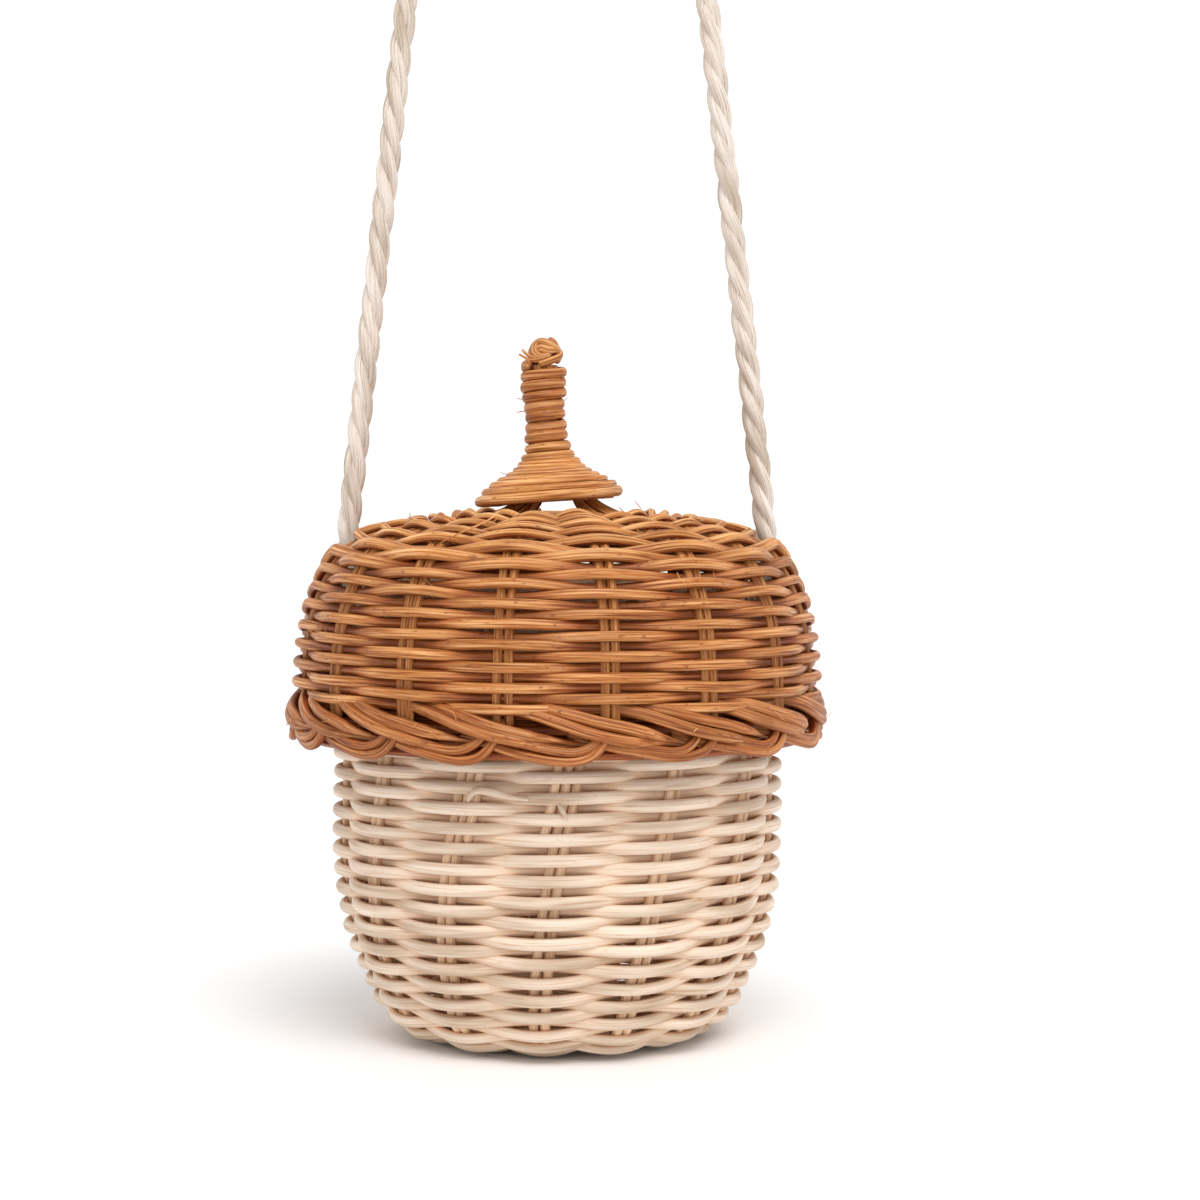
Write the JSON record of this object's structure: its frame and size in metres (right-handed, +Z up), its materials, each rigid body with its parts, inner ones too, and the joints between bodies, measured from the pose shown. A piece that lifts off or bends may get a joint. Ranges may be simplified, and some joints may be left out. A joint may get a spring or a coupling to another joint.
{
  "type": "lidded basket",
  "caption": "Woven cane basket shaped like an acorn: pale bowl, darker domed lid with a wound stem, and a rope strap through both.",
  "frame": {"origin": "centre of the flat underside", "axes": "+Z up along the basket's axis, X along the line between the strap's two ends"},
  "size_m": [0.166, 0.166, 0.3832],
  "materials": {
    "pale_cane": "peeled cane, satin",
    "pale_rod": "peeled rod, satin",
    "brown_cane": "stained cane, satin",
    "brown_rod": "stained rod, satin",
    "cotton_rope": "twisted cotton, matt"
  },
  "bodies": {
    "bowl": {"base_hub": "pale_rod", "base_weaver": "pale_cane", "bowl_weaver_lower": "pale_cane", "bowl_weaver_middle": "pale_cane", "bowl_weaver_upper": "pale_cane", "bowl_stake_01": "pale_rod", "bowl_stake_02": "pale_rod", "bowl_stake_03": "pale_rod", "bowl_stake_04": "pale_rod", "bowl_stake_05": "pale_rod", "bowl_stake_06": "pale_rod", "bowl_stake_07": "pale_rod", "bowl_stake_08": "pale_rod", "bowl_stake_09": "pale_rod", "bowl_stake_10": "pale_rod", "bowl_stake_11": "pale_rod", "bowl_stake_12": "pale_rod", "bowl_stake_13": "pale_rod", "bowl_rim_border": "pale_cane", "strap": "cotton_rope", "strap_knot_right": "cotton_rope", "strap_knot_left": "cotton_rope"},
    "lid": {"lid_weaver_crown": "brown_cane", "lid_weaver_side": "brown_cane", "lid_stake_01": "brown_rod", "lid_stake_02": "brown_rod", "lid_stake_03": "brown_rod", "lid_stake_04": "brown_rod", "lid_stake_05": "brown_rod", "lid_stake_06": "brown_rod", "lid_stake_07": "brown_rod", "lid_stake_08": "brown_rod", "lid_stake_09": "brown_rod", "lid_stake_10": "brown_rod", "lid_stake_11": "brown_rod", "lid_stake_12": "brown_rod", "lid_stake_13": "brown_rod", "lid_stake_14": "brown_rod", "lid_stake_15": "brown_rod", "lid_stake_16": "brown_rod", "lid_border": "brown_cane", "stem_core": "brown_rod", "stem_winding": "brown_cane", "stem_knot": "brown_cane"}
  },
  "joints": [
    {"name": "lid_lift", "type": "slide", "parent": "bowl", "child": "lid", "axis": [0, 0, 1], "range_m": [0, 0.054]}
  ]
}
